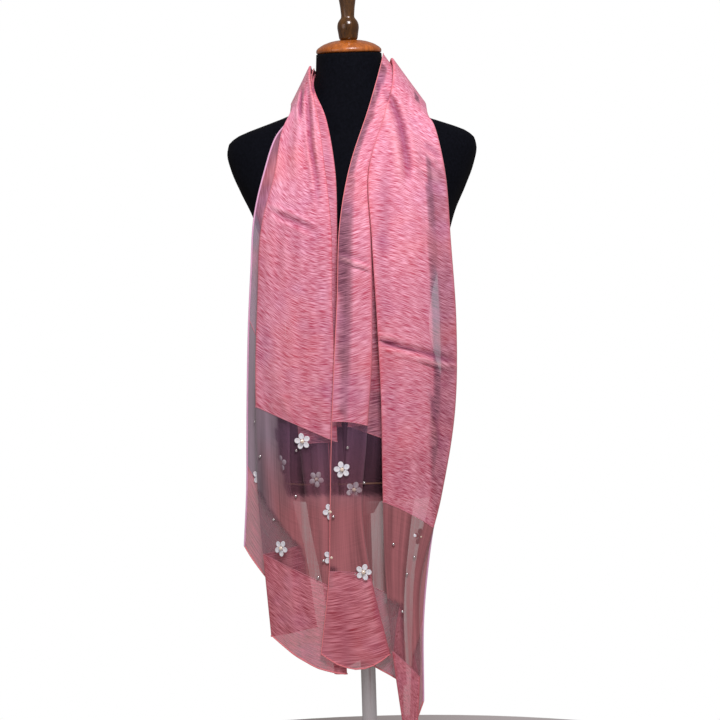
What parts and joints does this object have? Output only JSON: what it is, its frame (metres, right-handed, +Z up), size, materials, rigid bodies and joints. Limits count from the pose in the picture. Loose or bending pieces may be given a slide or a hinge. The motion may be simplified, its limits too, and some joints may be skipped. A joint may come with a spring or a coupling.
{
  "type": "scarf on a dress form",
  "caption": "Long slub crepe scarf with sheer, flower-sewn bands near its ends, draped round the neck of a limbless dress form with a wooden neck cap, on a pole stand.",
  "frame": {"origin": "on the floor at the pole's axis, the centre of the base's underside", "axes": "+Z up along the pole, -Y the front where the tails hang, +X to the right of someone facing the front"},
  "size_m": [0.374, 0.32, 1.3234],
  "materials": {
    "crepe": "pink slub crepe, a little see-through",
    "sheer_cloth": "sheer mauve organza",
    "flower_shell": "white glossy petals",
    "form_cover": "black jersey cover",
    "form_tape": "black cover with a thin gold line",
    "cap_wood": "polished orange-brown wood",
    "dark_wood": "polished dark brown wood",
    "stand_metal": "brushed steel"
  },
  "bodies": {
    "root": {"left_end_band": "crepe", "left_sheer_band": "sheer_cloth", "left_front": "crepe", "round_neck": "crepe", "right_front": "crepe", "right_sheer_band": "sheer_cloth", "right_end_band": "crepe", "flower_1": "flower_shell", "flower_2": "flower_shell", "flower_3": "flower_shell", "flower_4": "flower_shell", "flower_5": "flower_shell", "flower_6": "flower_shell", "flower_7": "flower_shell", "flower_8": "flower_shell", "flower_9": "flower_shell", "flower_10": "flower_shell", "flower_11": "flower_shell", "flower_12": "flower_shell", "form_torso": "form_cover", "form_lower_band": "form_tape", "neck_cap": "cap_wood", "finial": "dark_wood", "base_disc": "cap_wood", "pole": "stand_metal", "base_collar": "stand_metal", "form_collar": "stand_metal"}
  },
  "joints": []
}
